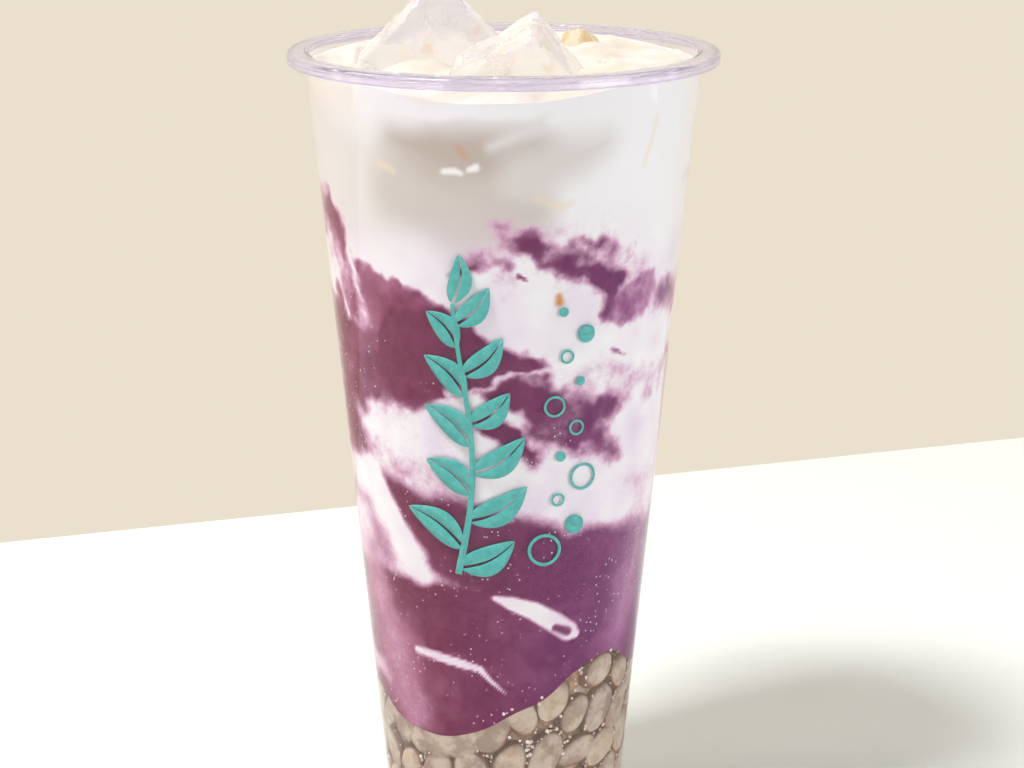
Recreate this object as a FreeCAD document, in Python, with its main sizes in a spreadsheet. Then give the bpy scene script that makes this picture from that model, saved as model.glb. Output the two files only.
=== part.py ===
"""Taro bubble tea in a clear plastic cup, as a parametric FreeCAD document, in millimetres.

The cup is an injection-moulded tapered tumbler with a hooked lip round its mouth and a floor lifted
off the table by a foot ring. It is filled, from the floor up, with a heap of chewy pearls, taro paste
and milk. Four ice cubes and an amber lump of sugar float in the milk. The three fills meet each other
at uneven surfaces, meet the wall face to face, and the milk is cut round what floats in it.

Frame: origin at the centre of the foot, +Z up, -Y is the front.
"""

import FreeCAD
import Part
import Sketcher
import math
import os

from FreeCAD import Placement, Rotation, Vector

PARTS_FOLDER = "parts"

# Driving dimensions: alias, value, what it sets. Lengths in mm, angles in degrees, tilts in mm per mm.
DIMENSIONS = (
    ("cup_height", 174.0, "table to the top of the lip"),
    ("mouth_diameter", 82.6, "outside of the wall, at the height of the lip's top"),
    ("foot_diameter", 50.3, "outside of the wall, at the table"),
    ("wall", 0.8, "thickness of the wall, measured level"),
    ("lip_overhang", 3.7, "from the wall's outside to the lip's outside"),
    ("lip_depth", 2.5, "height of the lip's skirt"),
    ("lip_thickness", 1.0, "thickness of the lip's top and skirt"),
    ("lip_round", 0.8, "rounding of the lip's outer top edge"),
    ("lip_edge_round", 0.3, "rounding of the lip's other edges"),
    ("recess_depth", 3.0, "from the table up to the underside of the floor"),
    ("recess_draft", 0.4, "narrowing of the recess from the table to the floor"),
    ("foot_ring", 1.2, "thickness of the foot ring at the table"),
    ("floor_thickness", 1.2, "thickness of the floor"),
    ("floor_round", 2.0, "rounding between the floor and the wall, inside"),
    ("foot_round", 0.4, "rounding of the foot's outer edge"),
    ("fill_grid", 6.0, "spacing of the points that shape the uneven surfaces"),
    ("pearl_level", 38.0, "mean height of the heap of pearls"),
    ("pearl_tilt_y", 0.05, "rise of the heap towards the back, mm per mm"),
    ("pearl_mound", 10.5, "height of the heap's mound, front right"),
    ("pearl_dip", 5.5, "depth of the heap's dip, front left"),
    ("pearl_ripple", 0.7, "height of the bumps that single pearls make"),
    ("pearl_pitch", 13.0, "spacing of those bumps"),
    ("taro_level", 111.0, "mean height of the taro paste"),
    ("taro_tilt_x", 0.40, "fall of the paste towards +X, mm per mm"),
    ("taro_tilt_y", 0.10, "rise of the paste towards the back, mm per mm"),
    ("taro_mound", 14.0, "height of the paste's ridge up the left wall"),
    ("taro_ripple", 2.4, "height of the paste's folds"),
    ("taro_pitch", 31.0, "spacing of those folds"),
    ("milk_gap", 3.0, "from the milk's mean level up to the lip's top"),
    ("milk_tilt_y", 0.035, "rise of the milk's froth towards the back, mm per mm"),
    ("milk_cling", 1.2, "height of the froth on the wall, front left and right"),
    ("milk_dip", 1.2, "depth of the dip between them"),
    ("milk_ripple", 0.25, "height of the milk's ripples"),
    ("milk_pitch", 26.0, "spacing of those ripples"),
    ("ice_round", 2.0, "rounding of an ice cube's edges, worn by melting"),
    ("lump_round", 2.2, "rounding of the sugar lump's edges"),
    ("block_taper", 0.88, "top edge of a block as a share of its bottom edge"),
    ("block_dimple", 0.06, "depth of the hollow in a block's top, as a share of its bottom edge"),
)

# What floats: name, edge, alias of its rounding, turns about Y, X and Z in degrees, the two sides of its
# box that are set, and how far its top stands out of the milk. A side is set as a share of the room inside
# the wall, or from a side of an earlier piece's box, with the step from there.
BEHIND_ICE_BACK = {"XMin": 0.28, "YMin": ("ice_back", "YMax", 0.2)}
FLOATING = (
    ("ice_left", 26.5, "ice_round", (136.0, 6.0, 8.0), {"XMin": -0.79, "YMin": -0.15}, 18.4),
    ("ice_right", 24.5, "ice_round", (-31.0, 9.0, -8.0), {"XMax": 0.51, "YMax": -0.09}, 12.4),
    ("ice_back", 19.0, "ice_round", (16.0, -14.0, 28.0), {"XMax": 0.90, "YMin": -0.24}, 1.9),
    ("ice_chip", 9.5, "ice_round", (38.0, 20.0, 12.0), {"XMin": -0.86, "YMax": -0.19}, 3.0),
    ("amber_lump", 8.2, "lump_round", (24.0, -12.0, 35.0), BEHIND_ICE_BACK, 4.8),
)


def sheet_with(doc, dimensions):
    """The spreadsheet that drives the model, one row for each dimension."""
    sheet = doc.addObject("Spreadsheet::Sheet", "Sizes")
    for row, (alias, value, meaning) in enumerate(dimensions, start=1):
        sheet.set(f"A{row}", alias)
        sheet.set(f"B{row}", str(value))
        sheet.set(f"C{row}", meaning)
        sheet.setAlias(f"B{row}", alias)
    doc.recompute()
    return sheet


def origin_feature(body, role):
    return next(f for f in body.Origin.OriginFeatures if f.Role == role)


def outline(body, name, corners):
    """A closed sketch on the body's XZ plane. Each corner is a pair of expressions: radius and height."""
    sketch = body.newObject("Sketcher::SketchObject", name)
    sketch.AttachmentSupport = [(origin_feature(body, "XZ_Plane"), "")]
    sketch.MapMode = "FlatFace"
    count = len(corners)
    # Rough places only keep the solver on the right branch: the constraints below set the true ones.
    rough = [Vector(sizes_value(radius), sizes_value(height), 0) for radius, height in corners]
    for i in range(count):
        sketch.addGeometry(Part.LineSegment(rough[i], rough[(i + 1) % count]), False)
    for i in range(count):
        sketch.addConstraint(Sketcher.Constraint("Coincident", i, 2, (i + 1) % count, 1))
    for i, (radius, height) in enumerate(corners):
        across = sketch.addConstraint(Sketcher.Constraint("DistanceX", -1, 1, i, 1, rough[i].x))
        sketch.setExpression(f"Constraints[{across}]", radius)
        up = sketch.addConstraint(Sketcher.Constraint("DistanceY", -1, 1, i, 1, rough[i].y))
        sketch.setExpression(f"Constraints[{up}]", height)
    return sketch


def sizes_value(expression):
    """The value of an expression over the sheet's cells."""
    sheet = FreeCAD.ActiveDocument.getObject("Sizes")
    value = sheet.evalExpression(expression.replace("Sizes.", ""))
    return float(getattr(value, "Value", value))


def revolve(body, feature, name, sketch):
    """A full turn of the sketch about the cup's axis, added or cut away."""
    turned = body.newObject(feature, name)
    turned.Profile = sketch
    turned.ReferenceAxis = (sketch, ["V_Axis"])
    turned.Angle = 360.0
    return turned


def circles_at(shape, radius, height):
    """Names of the shape's round edges about the Z axis with that radius and height."""
    near = 1e-3
    return [
        f"Edge{n}"
        for n, edge in enumerate(shape.Edges, start=1)
        if hasattr(edge.Curve, "Radius")
        and abs(edge.Curve.Radius - radius) < near
        and abs(edge.Curve.Center.z - height) < near
    ]


def fillet(body, name, base, places, radius):
    """Rounds the round edges that lie at those (radius, height) expressions."""
    edges = []
    for across, up in places:
        found = circles_at(base.Shape, sizes_value(across), sizes_value(up))
        if not found:
            raise RuntimeError(f"{name}: no edge at {across}, {up}")
        edges += found
    rounded = body.newObject("PartDesign::Fillet", name)
    rounded.Base = (base, edges)
    rounded.setExpression("Radius", radius)
    return rounded


# Expressions shared by the cup and what fills it. The wall is straight from the table to the lip's top.
FOOT_RADIUS = "Sizes.foot_diameter / 2"
MOUTH_RADIUS = "Sizes.mouth_diameter / 2"
LIP_RADIUS = "(Sizes.mouth_diameter / 2 + Sizes.lip_overhang)"
TOP = "Sizes.cup_height"
FLOOR = "Sizes.recess_depth + Sizes.floor_thickness"
LIP_UNDERSIDE = "Sizes.cup_height - Sizes.lip_thickness"
SKIRT_END = "Sizes.cup_height - Sizes.lip_depth"
SKIRT_INSIDE = f"({LIP_RADIUS} - Sizes.lip_thickness)"
OVER_THE_TOP = "Sizes.cup_height + Sizes.lip_depth"


def outside_radius(height):
    """Expression for the wall's outer radius at a height given as an expression."""
    return f"({FOOT_RADIUS} + ({MOUTH_RADIUS} - {FOOT_RADIUS}) * ({height}) / Sizes.cup_height)"


def inside_radius(height):
    return f"({outside_radius(height)} - Sizes.wall)"


def make_cup(doc):
    """The tapered cup: wall and hooked lip, hollowed, with a recess under its floor."""
    body = doc.addObject("PartDesign::Body", "cup")
    blank = revolve(
        body,
        "PartDesign::Revolution",
        "cup_blank",
        outline(body, "wall_outline", [("0", "0"), (FOOT_RADIUS, "0"), (MOUTH_RADIUS, TOP), ("0", TOP)]),
    )
    doc.recompute()
    wall_middle_top = f"{MOUTH_RADIUS} - Sizes.wall / 2"
    wall_middle_under = f"{outside_radius(LIP_UNDERSIDE)} - Sizes.wall / 2"
    hook = [
        (wall_middle_top, TOP),
        (LIP_RADIUS, TOP),
        (LIP_RADIUS, SKIRT_END),
        (SKIRT_INSIDE, SKIRT_END),
        (SKIRT_INSIDE, LIP_UNDERSIDE),
        (wall_middle_under, LIP_UNDERSIDE),
    ]
    revolve(body, "PartDesign::Revolution", "lip", outline(body, "lip_outline", hook))
    doc.recompute()
    cavity = [
        ("0", FLOOR),
        (inside_radius(FLOOR), FLOOR),
        (inside_radius(OVER_THE_TOP), OVER_THE_TOP),
        ("0", OVER_THE_TOP),
    ]
    revolve(body, "PartDesign::Groove", "cavity", outline(body, "cavity_outline", cavity))
    doc.recompute()
    ring_inside = f"{FOOT_RADIUS} - Sizes.foot_ring"
    recess = [
        ("0", "-Sizes.recess_depth"),
        (ring_inside, "-Sizes.recess_depth"),
        (ring_inside, "0"),
        (f"{ring_inside} - Sizes.recess_draft", "Sizes.recess_depth"),
        ("0", "Sizes.recess_depth"),
    ]
    hollow = revolve(body, "PartDesign::Groove", "foot_recess", outline(body, "recess_outline", recess))
    doc.recompute()
    if hollow.Shape.Volume >= 0.5 * blank.Shape.Volume:
        raise RuntimeError("the cup was not hollowed")
    crest = fillet(body, "lip_crest", hollow, [(LIP_RADIUS, TOP)], "Sizes.lip_round")
    doc.recompute()
    small = [
        (inside_radius(TOP), TOP),
        (LIP_RADIUS, SKIRT_END),
        (SKIRT_INSIDE, SKIRT_END),
    ]
    edges = fillet(body, "lip_edges", crest, small, "Sizes.lip_edge_round")
    doc.recompute()
    corner = fillet(body, "floor_corner", edges, [(inside_radius(FLOOR), FLOOR)], "Sizes.floor_round")
    doc.recompute()
    fillet(body, "foot_edge", corner, [(FOOT_RADIUS, "0")], "Sizes.foot_round")
    doc.recompute()
    return body


def make_cavity_fill(doc):
    """What the cup holds when it is full to the top: the solid that the three fills are cut from."""
    body = doc.addObject("PartDesign::Body", "full_cavity")
    profile = [("0", FLOOR), (inside_radius(FLOOR), FLOOR), (inside_radius(TOP), TOP), ("0", TOP)]
    blank = revolve(body, "PartDesign::Revolution", "fill_blank", outline(body, "fill_outline", profile))
    doc.recompute()
    fillet(body, "fill_corner", blank, [(inside_radius(FLOOR), FLOOR)], "Sizes.floor_round")
    doc.recompute()
    return body


def mound(x, y, centre, spread):
    """A rounded mound of height 1 at the centre."""
    return math.exp(-((x - centre[0]) ** 2 + (y - centre[1]) ** 2) / (2 * spread**2))


def ripple(x, y, pitch):
    """Crossed waves between -1 and 1 that don't line up with the axes."""
    wave = 2 * math.pi / pitch
    return 0.5 * (math.sin(wave * (x + 0.45 * y)) + math.cos(wave * (y - 0.35 * x) + 0.8))


def pearl_height(sheet, x, y):
    """The heap is piled against the wall at the front right and dips at the front left."""
    reach = sheet.foot_diameter / 2
    return (
        sheet.pearl_level
        + sheet.pearl_tilt_y * y
        + sheet.pearl_mound * mound(x, y, (0.78 * reach, -0.76 * reach), 0.38 * reach)
        - sheet.pearl_dip * mound(x, y, (-0.70 * reach, -0.90 * reach), 0.42 * reach)
        + sheet.pearl_ripple * ripple(x, y, sheet.pearl_pitch)
    )


def taro_height(sheet, x, y):
    """The paste is smeared high up the left of the wall and lies low on the right."""
    reach = sheet.mouth_diameter / 2
    return (
        sheet.taro_level
        - sheet.taro_tilt_x * x
        + sheet.taro_tilt_y * y
        + sheet.taro_mound * mound(x, y, (-0.85 * reach, -0.20 * reach), 0.30 * reach)
        + sheet.taro_ripple * ripple(x, y, sheet.taro_pitch)
    )


def milk_level(sheet):
    return sheet.cup_height - sheet.milk_gap


def milk_height(sheet, x, y):
    """Froth clings to the wall at the front left and right, and the milk dips between them."""
    reach = sheet.mouth_diameter / 2
    cling = mound(x, y, (-0.72 * reach, -0.65 * reach), 0.25 * reach)
    cling += mound(x, y, (0.66 * reach, -0.72 * reach), 0.30 * reach)
    return (
        milk_level(sheet)
        + sheet.milk_tilt_y * y
        + sheet.milk_cling * cling
        - sheet.milk_dip * mound(x, y, (-0.15 * reach, -0.90 * reach), 0.33 * reach)
        + sheet.milk_ripple * ripple(x, y, sheet.milk_pitch)
    )


def space_above(doc, name, sheet, height):
    """A solid that fills the space over an uneven surface, from beyond the wall on every side."""
    half = sheet.mouth_diameter * 0.6
    steps = max(8, round(2 * half / sheet.fill_grid))
    lines = [-half + 2 * half * n / steps for n in range(steps + 1)]
    grid = [[Vector(x, y, height(sheet, x, y)) for y in lines] for x in lines]
    surface = Part.BSplineSurface()
    surface.interpolate(grid)
    feature = doc.addObject("Part::Feature", name)
    feature.Shape = surface.toShape().extrude(Vector(0, 0, sheet.cup_height * 1.5))
    return feature


def room_radius(sheet):
    """Radius of the space inside the wall at the milk's mean level."""
    foot = sheet.foot_diameter / 2
    mouth = sheet.mouth_diameter / 2
    return foot + (mouth - foot) * milk_level(sheet) / sheet.cup_height - sheet.wall


def make_floating(doc, name, round_alias, turns, sides, rise):
    """A block from a tray: tapered, with rounded edges and a hollow in its top, turned as it floats."""
    sheet = doc.getObject("Sizes")
    edge = f"Sizes.{name}_edge"
    block = doc.addObject("Part::Wedge", f"{name}_block")
    for low in ("Xmin", "Ymin", "Zmin"):
        block.setExpression(low, f"-{edge} / 2")
    for high in ("Xmax", "Ymax", "Zmax"):
        block.setExpression(high, f"{edge} / 2")
    for low in ("X2min", "Z2min"):
        block.setExpression(low, f"-{edge} * Sizes.block_taper / 2")
    for high in ("X2max", "Z2max"):
        block.setExpression(high, f"{edge} * Sizes.block_taper / 2")
    doc.recompute()
    rounded = doc.addObject("Part::Fillet", f"{name}_rounded")
    rounded.Base = block
    radius = getattr(sheet, round_alias)
    rounded.Edges = [(n, radius, radius) for n in range(1, len(block.Shape.Edges) + 1)]
    # The block narrows towards its +Y face, and the hollow is a large ball sunk a little into that face.
    ball_radius = 0.8
    ball = doc.addObject("Part::Sphere", f"{name}_hollow")
    ball.setExpression("Radius", f"{edge} * {ball_radius}")
    ball.setExpression("Placement.Base.y", f"{edge} * ({0.5 + ball_radius} - Sizes.block_dimple)")
    piece = combine(doc, "Part::Cut", name, rounded, ball)
    about_y, about_x, about_z = turns
    turned = Rotation(Vector(0, 0, 1), about_z) * Rotation(Vector(0, 1, 0), about_y)
    turned = turned * Rotation(Vector(1, 0, 0), about_x) * Rotation(Vector(1, 0, 0), 90)
    piece.Placement = Placement(Vector(0, 0, 0), turned)
    box = piece.Shape.BoundBox
    room = room_radius(sheet)
    shift = Vector(0, 0, milk_level(sheet) + rise - box.ZMax)
    for side, rule in sides.items():
        if isinstance(rule, tuple):
            neighbour, its_side, step = rule
            place = getattr(doc.getObject(neighbour).Shape.BoundBox, its_side) + step
        else:
            place = rule * room
        setattr(shift, side[0].lower(), place - getattr(box, side))
    piece.Placement = Placement(shift, turned)
    doc.recompute()
    return piece


def combine(doc, kind, name, base, tool):
    """A Part::Cut or Part::Common of two of the document's objects."""
    made = doc.addObject(kind, name)
    made.Base = base
    made.Tool = tool
    doc.recompute()
    return made


def make_fills(doc, floating):
    """Pearls, taro paste and milk, cut from the full cavity at the surfaces between them."""
    sheet = doc.getObject("Sizes")
    full = make_cavity_fill(doc)
    over_pearls = space_above(doc, "space_over_pearls", sheet, pearl_height)
    over_taro = space_above(doc, "space_over_taro", sheet, taro_height)
    over_milk = space_above(doc, "space_over_milk", sheet, milk_height)
    pearls = combine(doc, "Part::Cut", "pearl_heap", full, over_pearls)
    above_pearls = combine(doc, "Part::Common", "above_pearls", full, over_pearls)
    taro = combine(doc, "Part::Cut", "taro_paste", above_pearls, over_taro)
    above_taro = combine(doc, "Part::Common", "above_taro", above_pearls, over_taro)
    whole_milk = combine(doc, "Part::Cut", "whole_milk", above_taro, over_milk)
    afloat = doc.addObject("Part::MultiFuse", "all_that_floats")
    afloat.Shapes = floating
    doc.recompute()
    milk = combine(doc, "Part::Cut", "milk", whole_milk, afloat)
    return [pearls, taro, milk]


def check(doc, nodes):
    """Stops if an object failed, or if a node isn't a valid solid."""
    failed = [o.Label for o in doc.Objects if {"Invalid", "Error"} & set(o.State)]
    if failed:
        raise RuntimeError(f"these objects failed: {failed}")
    for node in nodes:
        shape = node.Shape
        if shape.isNull() or not shape.isValid() or not shape.Solids or shape.Volume <= 0:
            raise RuntimeError(f"{node.Label} is not a valid solid")


def main():
    doc = FreeCAD.newDocument("taro_bubble_tea")
    edges = tuple((f"{name}_edge", edge, f"bottom edge of {name}") for name, edge, *_ in FLOATING)
    sheet_with(doc, DIMENSIONS + edges)
    cup = make_cup(doc)
    floating = [make_floating(doc, name, *rest) for name, _, *rest in FLOATING]
    nodes = [cup, *make_fills(doc, floating), *floating]
    doc.recompute()
    check(doc, nodes)
    os.makedirs(PARTS_FOLDER, exist_ok=True)
    for node in nodes:
        node.Shape.exportStep(os.path.join(PARTS_FOLDER, f"{node.Label}.step"))
        box = node.Shape.BoundBox
        print(
            f"{node.Label}: {len(node.Shape.Solids)} solid, {node.Shape.Volume / 1000:.1f} ml,"
            f" z {box.ZMin:.1f} to {box.ZMax:.1f}"
        )


main()
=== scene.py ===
"""Looks of the taro bubble tea in its clear cup.

Lengths in the tables and in the shape functions are millimetres, and new_piece() turns them into metres.
Angles round the cup are degrees from the front, which is -Y, and grow towards +X.
"""

import math

import bpy
import bmesh
import numpy as np
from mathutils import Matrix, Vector
from mathutils.bvhtree import BVHTree


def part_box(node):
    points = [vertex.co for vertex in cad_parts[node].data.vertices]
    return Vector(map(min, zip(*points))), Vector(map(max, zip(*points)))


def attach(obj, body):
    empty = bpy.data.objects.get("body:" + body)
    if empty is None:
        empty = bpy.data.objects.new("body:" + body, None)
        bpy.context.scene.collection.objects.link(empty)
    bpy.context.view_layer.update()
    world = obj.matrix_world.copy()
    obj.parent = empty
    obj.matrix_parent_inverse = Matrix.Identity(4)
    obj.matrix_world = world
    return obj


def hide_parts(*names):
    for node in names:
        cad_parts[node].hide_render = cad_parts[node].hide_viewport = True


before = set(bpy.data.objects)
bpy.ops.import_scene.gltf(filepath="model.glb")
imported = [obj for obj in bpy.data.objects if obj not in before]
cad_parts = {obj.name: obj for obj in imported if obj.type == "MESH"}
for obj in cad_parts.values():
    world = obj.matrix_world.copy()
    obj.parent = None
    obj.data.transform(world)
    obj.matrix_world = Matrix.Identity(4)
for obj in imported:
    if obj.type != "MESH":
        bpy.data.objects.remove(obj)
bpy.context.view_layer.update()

MM = 0.001
CUP_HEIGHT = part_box("cup")[1].z / MM
LIP_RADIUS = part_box("cup")[1].x / MM
FOOT_RADIUS = 25.15
MOUTH_RADIUS = 41.3
WALL = 0.8
FLOOR_TOP = 4.2
RECESS = 3.0
LIP_BAND = 4.0  # how far down the thicker, more lavender plastic of the lip goes
REACH = 0.15  # how far the drink reaches into the wall, so that no air shows between them
DRINK_COLUMNS = 392  # points round a layer of the drink

# The levels of the layers, the same as the solids'.
PEARL_LEVEL = 38.0
TARO_LEVEL = 111.0
MILK_LEVEL = CUP_HEIGHT - 3.0

PEARL_PITCH = 7.4  # from pearl to pearl, across
PEARL_STRETCH = 1.5  # length of a pearl to its width
PEARL_LEAN = 24.0  # degrees that the pearls lean to the right of upright
WALL_PEARLS = 98
WALL_PEARL_INSET = 2.2  # from the wall to the middles of the pearls that lie against it
INNER_PEARLS = 62
INNER_PEARL_INSET = 6.0
SYRUP_CORE_INSET = 3.0  # from the wall to the syrup too thick to see through
LOOSE_BUBBLES = 3600  # tried all round; the ones in the gaps between pearls stay
BUBBLE_GAP = 0.455  # and a gap begins at this distance from a pearl's middle, in pearls' widths
# Bubbles: angle, height, spread in degrees, spread in mm, and how many.
BUBBLE_CLUSTERS = (
    (-4.0, 37.5, 4.0, 1.2, 60),
    (24.0, 42.5, 2.5, 2.2, 45),
    (47.0, 47.5, 4.5, 1.6, 90),
    (34.0, 34.0, 3.0, 1.0, 26),
    (14.0, 28.0, 4.0, 1.0, 34),
    (-44.0, 34.0, 6.0, 1.0, 30),
    (-24.0, 30.0, 8.0, 1.5, 40),
)
ICE_BLOCKS = ("ice_left", "ice_right", "ice_back", "ice_chip", "amber_lump")

# The print: distances round the wall from the front, in mm.
SPRIG_HEIGHTS = (69.0, 128.0)
SPRIG_FOOT = -9.5
SPRIG_LEAVES = 11
INK = 0.03  # thickness of the ink
PRINTED_BUBBLES = (
    (8.6, 74.5, 3.6, 2.9), (15.2, 79.5, 2.1, 0.0), (11.4, 85.5, 1.5, 1.0), (17.0, 90.0, 3.0, 2.4),
    (12.0, 95.0, 1.1, 0.0), (15.4, 101.0, 1.7, 1.2), (10.6, 106.0, 2.3, 1.8), (16.2, 111.0, 1.0, 0.0),
    (13.2, 116.5, 1.5, 1.0), (17.4, 121.0, 1.9, 0.0), (12.4, 126.0, 1.0, 0.0),
)
CAMERA_PLACE = (1.77, -500.0, 240.7)
CAMERA_DOWN = 15.558  # degrees that the camera looks down
CAMERA_LENS = 84.53
LAMPS_AIM = 90.0  # height that the lamps are aimed at
WALL_FOOT = ((-152.5, 186.0), (179.0, 296.0))  # where the wall behind meets the floor
AMBIENT = 0.16  # strength of the light from all round
BASE_TOP = 68.0  # where the even bottom of the paste ends and the marbling begins
SETTLED = 1.3  # how far the listed marbling has sunk
SMEARED = 1.8  # and how much softer its edges have become

# Marbling of the front, in the order that it is laid: how much taro (0 is milk), how deep its colour
# is, how soft the edge is in mm, and the path as angle in degrees from the front, height in mm and
# half-width in mm.
STREAKS = (
    # the thick bottom of the paste
    (0.95, 0.62, 3.0, [(8, 62, 9), (24, 68, 10), (38, 70, 10), (56, 68, 10), (84, 66, 11)]),
    (0.90, 0.85, 3.0, [(-33, 76, 5), (-14, 74, 7), (4, 72, 7), (16, 70, 8)]),
    # the paste smeared up the left
    (0.90, 0.56, 3.0, [(-92, 106, 20), (-66, 108, 16.5)]),
    (0.94, 0.34, 1.6, [(-60, 115, 14), (-52, 120, 14.5), (-42, 119, 14.5), (-34, 118, 13)]),
    (0.90, 0.60, 3.0, [(-70, 108, 16), (-58, 110, 13)]),
    (0.90, 0.55, 2.4, [(-46, 108, 4), (-36, 112, 9), (-32, 120, 10), (-31, 127, 5)]),
    (0.98, 1.00, 2.0, [(-31, 117, 9.5), (-22, 119, 9.5), (-13, 117, 7), (-4, 115.5, 4.6),
     (6, 116.6, 2.2), (14, 114.5, 1.4)]),
    (0.85, 0.50, 1.8, [(-92, 142, 7), (-72, 143, 5.0), (-64, 141, 3.6), (-58, 136, 1.8)]),
    (0.50, 0.35, 3.0, [(-70, 137, 3.0), (-60, 130, 3.4), (-54, 124, 2.4)]),
    (0.10, 0.30, 1.2, [(-57, 138, 1.0), (-54, 132, 0.9), (-52, 127, 0.5)]),
    (0.15, 0.30, 1.6, [(-71, 136, 1.4), (-66, 130, 1.1), (-63, 123, 0.8)]),
    # the dark mass in the middle and its tail
    (0.95, 0.92, 2.0, [(-3, 109.5, 3.4), (6, 108.5, 5.2), (14, 106.5, 6.6), (24, 104.5, 6.4),
     (32, 103.5, 5.0)]),
    (0.88, 0.78, 4.0, [(22, 105, 5.4), (34, 104, 5.4), (42, 103, 3.4)]),
    (0.25, 0.40, 5.0, [(28, 112, 3.0), (38, 114, 3.5), (48, 111, 3.0)]),
    (0.04, 0.40, 1.6, [(-20, 107.5, 1.2), (-8, 107.4, 1.2), (-2, 106.6, 1.4), (3, 105.2, 2.0),
     (8, 101.8, 1.9), (13, 98.0, 1.6), (18, 94.5, 2.0)]),
    (0.95, 0.92, 1.4, [(-11, 104.2, 1.2), (-6, 103.6, 2.4), (0, 102.2, 2.8), (5, 99.2, 2.6),
     (10, 95.4, 1.2)]),
    (0.12, 0.50, 1.0, [(-17, 110.6, 0.8), (-7, 110.4, 0.7), (-1, 112.4, 0.6), (5, 114.6, 0.6),
     (13, 115.9, 0.7), (21, 115.2, 0.5)]),
    # the dark band under it
    (0.90, 0.80, 2.6, [(-47, 89, 1.6), (-40, 86, 3.4), (-31, 83, 4.6), (-18, 82, 4.4), (-6, 81.4, 4.4),
     (4, 79.5, 4.6), (13, 77.5, 4.4)]),
    # milk across the middle
    (0.05, 0.40, 3.2, [(-57, 100.5, 2.6), (-48, 101.0, 4.6), (-38, 99.5, 5.2), (-28, 96.5, 7.0),
     (-14, 95.5, 6.6), (0, 91.5, 5.0), (8, 89.0, 4.4), (15, 89.0, 4.0)]),
    (0.36, 0.40, 4.0, [(-54, 94.5, 1.6), (-44, 92.5, 2.2), (-34, 91.5, 2.4), (-20, 89.0, 1.2)]),
    (0.02, 0.40, 3.0, [(12, 89.5, 2.6), (22, 88.5, 3.4), (33, 89.0, 5.6), (43, 92.0, 9.5),
     (54, 93.0, 12.5), (66, 93.0, 13), (80, 94, 13)]),
    (0.84, 0.72, 3.4, [(14, 102, 3.0), (26, 100.5, 3.6), (36, 98.0, 2.8), (43, 95.0, 1.6)]),
    (0.34, 0.45, 3.4, [(56, 109, 1.5), (62, 107, 2.4), (69, 108, 2.8), (78, 112, 2.4)]),
    (0.25, 0.45, 3.4, [(52, 88, 1.4), (60, 86, 2.0), (70, 88, 2.0)]),
    # milk down the lower left, with rosy patches
    (0.05, 0.40, 3.0, [(-84, 82, 7.5), (-68, 81.5, 7.5), (-58, 79, 7.0), (-50, 76, 6.4),
     (-42, 72.5, 5.2), (-36, 69.5, 2.8)]),
    (0.42, 0.45, 3.0, [(-72, 82, 1.8), (-62, 81.5, 1.8)]),
    (0.52, 0.50, 3.2, [(-60, 78, 1.6), (-55, 74, 3.6), (-50, 70.5, 2.6)]),
    (0.00, 0.40, 1.6, [(-57, 90.5, 1.4), (-48, 84.5, 2.2), (-41, 78.5, 2.6), (-37, 73.5, 3.0),
     (-33.5, 69.0, 1.6)]),
    # thin milk veins in the bottom
    (0.30, 0.40, 2.4, [(-78, 43.5, 2.6), (-67, 43.0, 2.0), (-61, 41.0, 0.8)]),
    (0.35, 0.40, 0.6, [(-63, 60.0, 0.3), (-60, 57.6, 0.35)]),
    # blotches high on the right
    (0.22, 0.45, 8.0, [(6, 141, 3.0), (20, 139, 4.0), (34, 136, 7.0), (48, 130, 6.0)]),
    (0.90, 0.72, 1.6, [(4.5, 141.6, 1.9), (10, 141.4, 2.5), (14.5, 138.0, 2.6), (20, 136.2, 2.2),
     (27, 134.8, 1.7)]),
    (0.60, 0.60, 2.0, [(15, 139.2, 1.2), (23, 138.8, 1.5), (30, 137.4, 1.2)]),
    (0.85, 0.72, 1.6, [(27.5, 141.6, 1.0), (30.5, 141.4, 1.4)]),
    (0.62, 0.60, 2.0, [(33, 138.6, 1.4), (36.5, 139.2, 1.1)]),
    (1.00, 0.92, 1.6, [(30, 136.0, 1.6), (32.5, 133.0, 2.8), (35, 130.6, 2.0)]),
    (0.86, 0.70, 1.4, [(37, 127.6, 2.7), (42, 127.2, 3.1)]),
    (0.72, 0.28, 1.6, [(42, 128.0, 3.2), (48, 128.0, 4.0), (52.5, 130.2, 2.6)]),
    (0.70, 0.45, 3.0, [(64, 126.5, 3.0), (71, 126.0, 3.6), (84, 126, 4.5)]),
    (0.30, 0.45, 3.0, [(72, 150, 1.4), (84, 151, 2.4)]),
    # wisps at the top of the paste
    (0.82, 0.80, 1.6, [(-16.5, 135.8, 0.8), (-11, 137.0, 1.7), (-5, 137.4, 1.5), (0, 136.3, 1.0)]),
    (0.34, 0.45, 3.0, [(-13, 138.6, 1.4), (-4, 139.2, 1.4)]),
    (0.36, 0.45, 2.4, [(-3.5, 134.4, 1.2), (0, 132.8, 1.2)]),
    (0.34, 0.45, 3.0, [(-5, 144.6, 0.8), (0, 144.4, 1.2), (3.5, 143.4, 0.9)]),
    (0.45, 0.50, 2.0, [(-1.5, 141.4, 0.9), (1.5, 140.4, 1.3)]),
    (0.80, 0.80, 0.6, [(39, 118.8, 0.35), (43, 118.1, 0.5), (45, 117.4, 0.25)]),
    (0.85, 0.85, 0.6, [(3.9, 133.7, 0.55), (4.5, 133.4, 0.5)]),
    # paler towards the sides
    (0.66, 0.12, 9.0, [(66, 76, 3), (60, 64, 4), (56, 54, 4)]),
    (0.60, 0.12, 8.0, [(-66, 70, 4), (-58, 56, 5), (-50, 44, 5), (-42, 36, 4)]),
)
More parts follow.
